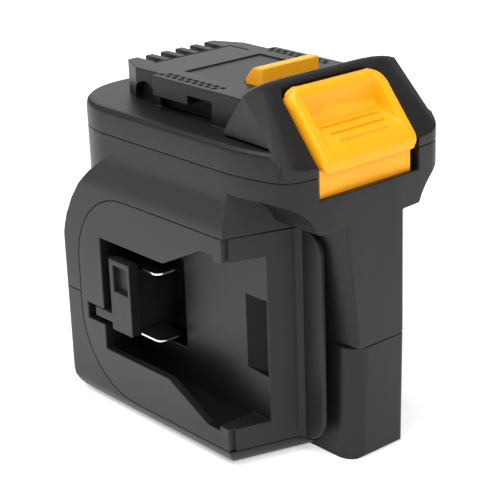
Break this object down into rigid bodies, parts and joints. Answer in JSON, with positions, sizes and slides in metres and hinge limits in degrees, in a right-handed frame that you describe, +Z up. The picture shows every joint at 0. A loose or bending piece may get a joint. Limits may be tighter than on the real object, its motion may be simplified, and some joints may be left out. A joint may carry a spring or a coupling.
{
  "type": "tool battery adapter",
  "caption": "Battery adapter for cordless tools: pack sockets in both sides below, a slide rail with terminal slots, release button and latch on top.",
  "frame": {"origin": "under the middle of the overall box, on the plane it stands on", "axes": "+Z up towards the tool, -Y towards the release button and the socket mouths, -X towards the socket seen in the picture"},
  "size_m": [0.08, 0.1164, 0.127],
  "materials": {
    "housing_plastic": "fine moulded grain, satin black",
    "insert_plastic": "smooth satin black",
    "terminal_plastic": "smooth satin black",
    "contact_metal": "nickel-plated strip",
    "button_plastic": "amber, soft gloss",
    "steel": "plain steel",
    "copper_alloy": "bright spring strip",
    "board": "green solder mask",
    "package_plastic": "moulded black",
    "aluminium": "plain",
    "wire_red": "satin insulation",
    "wire_black": "satin insulation"
  },
  "bodies": {
    "body": {"top_cover": "housing_plastic", "housing_upper": "housing_plastic", "housing_lower": "housing_plastic", "socket_insert_left": "insert_plastic", "socket_insert_right": "insert_plastic", "terminal_block_left": "terminal_plastic", "terminal_block_right": "terminal_plastic", "blade_positive_left": "contact_metal", "blade_negative_left": "contact_metal", "blade_positive_right": "contact_metal", "blade_negative_right": "contact_metal", "release_spring_left": "steel", "release_spring_right": "steel", "output_carrier": "terminal_plastic", "output_clip_positive": "copper_alloy", "output_clip_negative": "copper_alloy", "signal_contact": "copper_alloy", "circuit_board": "board", "power_transistors": "package_plastic", "heat_spreader": "aluminium", "capacitor": "aluminium", "wire_positive_left": "wire_red", "wire_negative_left": "wire_black", "wire_positive_right": "wire_red", "wire_negative_right": "wire_black", "wire_output_positive": "wire_red", "wire_output_negative": "wire_black", "cover_screws": "steel", "housing_screws": "steel", "board_screws": "steel"},
    "button": {"release_button": "button_plastic"}
  },
  "joints": [
    {"name": "release_press", "type": "slide", "parent": "body", "child": "button", "axis": [0, 0, -1], "range_m": [0, 0.0055], "stiffness_N_per_m": 400, "springref_m": -0.004, "deforming": ["release_spring_left", "release_spring_right"]}
  ]
}
